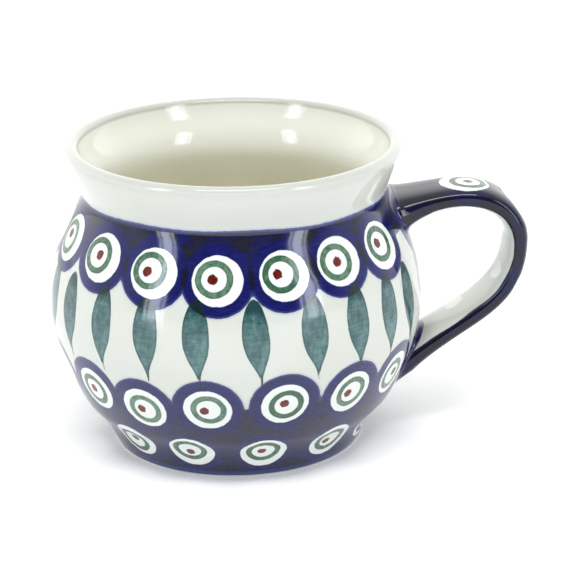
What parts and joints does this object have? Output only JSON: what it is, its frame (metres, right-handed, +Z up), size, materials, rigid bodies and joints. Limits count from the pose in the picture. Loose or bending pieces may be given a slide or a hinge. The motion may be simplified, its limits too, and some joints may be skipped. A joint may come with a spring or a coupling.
{
  "type": "belly mug",
  "caption": "Round-bellied stoneware drinking mug with a flared lip, a turned foot ring and a strap handle luted on below the neck and low on the flank.",
  "frame": {"origin": "on the table, under the middle of the whole mug's box, handle included; the mug's own turning axis is 15.55 mm from it towards -X", "axes": "+Z up along the turning axis, +X out along the handle, Y across the handle"},
  "size_m": [0.1396, 0.1084, 0.0895],
  "materials": {
    "body_glaze": "glossy clear glaze over cream stoneware, painted with cobalt, green and red-brown stamps",
    "handle_glaze": "glossy clear glaze over cobalt brushwork, cream on the inner face",
    "joint_glaze": "glossy clear glaze over cobalt brushwork"
  },
  "bodies": {
    "root": {"mug_body": "body_glaze", "handle": "handle_glaze", "upper_slip_joint": "joint_glaze", "lower_slip_joint": "joint_glaze"}
  },
  "joints": []
}
